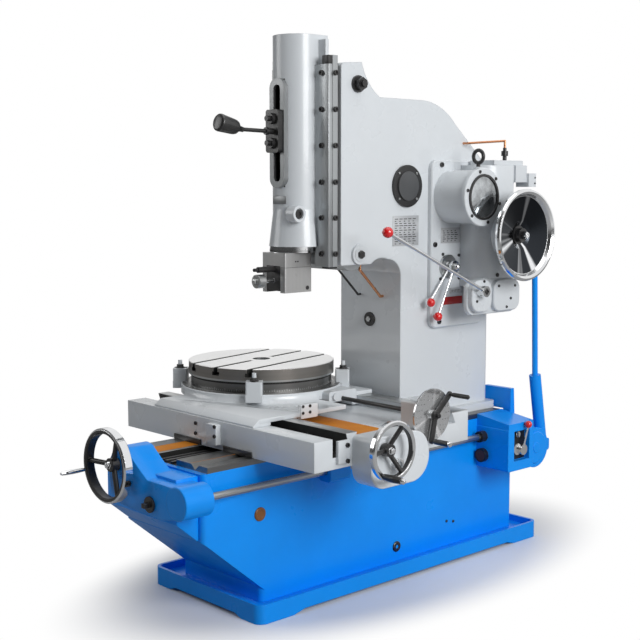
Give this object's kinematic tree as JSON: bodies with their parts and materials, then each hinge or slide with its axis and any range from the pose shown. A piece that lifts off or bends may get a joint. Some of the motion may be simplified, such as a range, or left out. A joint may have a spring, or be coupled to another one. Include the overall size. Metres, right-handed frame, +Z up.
{
  "type": "vertical slotting machine",
  "caption": "Vertical slotting machine: blue bed with drip trough, saddle, cross slide and round slotted table under a grey column whose forked head holds a tilting ram.",
  "frame": {"origin": "on the floor at the centre of the base flange", "axes": "-Y is the front with the longitudinal handwheel, +X the working side with the gearbox, +Z up"},
  "size_m": [1.492, 2.2706, 2.245],
  "materials": {
    "grey_paint": "satin",
    "blue_paint": "gloss",
    "machined_steel": "ground",
    "cast_black": "oiled",
    "chrome": "polished",
    "polished_alloy": "polished",
    "glass": "clear",
    "copper": "bright"
  },
  "bodies": {
    "frame": {"drip_trough": "blue_paint", "bed": "blue_paint", "front_bracket": "blue_paint", "column": "grey_paint", "tilt_pin": "cast_black", "tilt_nut": "cast_black", "column_cover": "cast_black", "front_cap": "cast_black", "oil_pipe_left": "cast_black", "oil_pipe_right": "copper", "gearbox_plate": "grey_paint", "speed_gearbox": "grey_paint", "gearbox_covers": "grey_paint", "hub_flange": "machined_steel", "gearbox_top": "grey_paint", "oil_cup": "cast_black", "sight_window": "chrome", "sight_glass": "glass", "eyebolt": "cast_black", "copper_tube": "copper", "rear_gearbox": "blue_paint", "rear_upright": "blue_paint", "clutch_drum": "machined_steel", "connecting_rod": "blue_paint"},
    "feed_rod": {"feed_rod": "machined_steel"},
    "front_wheel": {"front_handwheel": "chrome"},
    "saddle": {"saddle": "grey_paint", "saddle_fittings": "grey_paint", "rod_bracket": "blue_paint", "cross_feed_gearbox": "grey_paint", "index_plate": "machined_steel"},
    "cross_wheel": {"cross_handwheel": "chrome"},
    "index_crank": {"index_crank": "cast_black", "index_shaft": "cast_black"},
    "cross_slide": {"cross_slide": "grey_paint", "table_clamps": "grey_paint", "rotary_feed_box": "grey_paint"},
    "table": {"rotary_table": "machined_steel"},
    "guide": {"ram_guide": "grey_paint", "keepers": "machined_steel"},
    "ram": {"ram": "machined_steel", "slot_plate": "machined_steel", "ram_clamp": "cast_black", "ram_boss": "cast_black", "graduated_ring": "machined_steel", "tool_head": "machined_steel", "tool_clamp": "cast_black"},
    "clamp_lever": {"clamp_lever": "cast_black"},
    "dish_wheel": {"dish_handwheel": "polished_alloy"},
    "clutch_lever": {"clutch_lever": "chrome"},
    "short_lever_low": {"short_lever_low": "chrome"},
    "short_lever_high": {"short_lever_high": "chrome"},
    "long_lever": {"long_lever": "chrome"}
  },
  "joints": [
    {"name": "saddle_travel", "type": "slide", "parent": "frame", "child": "saddle", "axis": [0, 1, 0], "range_m": [-0.24, 0.02]},
    {"name": "cross_travel", "type": "slide", "parent": "saddle", "child": "cross_slide", "axis": [1, 0, 0], "range_m": [-0.03, 0.36]},
    {"name": "table_turn", "type": "hinge", "parent": "cross_slide", "child": "table", "pos_m": [-0.282, -0.316, 0.85], "axis": [0, 0, 1], "continuous": true},
    {"name": "guide_tilt", "type": "hinge", "parent": "frame", "child": "guide", "pos_m": [0, -0.184, 1.365], "axis": [1, 0, 0], "range_deg": [0, 8]},
    {"name": "ram_travel", "type": "slide", "parent": "guide", "child": "ram", "axis": [0, 0, 1], "range_m": [-0.22, 0.1]},
    {"name": "front_wheel_turn", "type": "hinge", "parent": "frame", "child": "front_wheel", "pos_m": [-0.06, -1.25, 0.612], "axis": [0, 1, 0], "continuous": true},
    {"name": "cross_wheel_turn", "type": "hinge", "parent": "saddle", "child": "cross_wheel", "pos_m": [0.72, -0.56, 0.691], "axis": [1, 0, 0], "continuous": true},
    {"name": "dish_wheel_turn", "type": "hinge", "parent": "frame", "child": "dish_wheel", "pos_m": [0.45, 0.55, 1.432], "axis": [1, 0, 0], "continuous": true},
    {"name": "index_crank_turn", "type": "hinge", "parent": "saddle", "child": "index_crank", "pos_m": [0.62, -0.198, 0.758], "axis": [1, 0, 0], "continuous": true},
    {"name": "feed_rod_turn", "type": "hinge", "parent": "frame", "child": "feed_rod", "pos_m": [0.29, -0.3, 0.522], "axis": [0, 1, 0], "continuous": true},
    {"name": "clamp_lever_turn", "type": "hinge", "parent": "ram", "child": "clamp_lever", "pos_m": [0, -0.515, 1.862], "axis": [0, -1, 0], "range_deg": [-60, 0]},
    {"name": "clutch_lever_turn", "type": "hinge", "parent": "frame", "child": "clutch_lever", "pos_m": [0.43, 0.62, 0.466], "axis": [1, 0, 0], "range_deg": [-12, 12]},
    {"name": "short_lever_low_turn", "type": "hinge", "parent": "frame", "child": "short_lever_low", "pos_m": [0.224, 0.345, 1.293], "axis": [1, 0, 0], "range_deg": [-15, 3]},
    {"name": "short_lever_high_turn", "type": "hinge", "parent": "frame", "child": "short_lever_high", "pos_m": [0.246, 0.345, 1.293], "axis": [1, 0, 0], "range_deg": [-3, 15]},
    {"name": "long_lever_turn", "type": "hinge", "parent": "frame", "child": "long_lever", "pos_m": [0.38, 0.367, 1.193], "axis": [1, 0, 0], "range_deg": [-12, 12]}
  ]
}
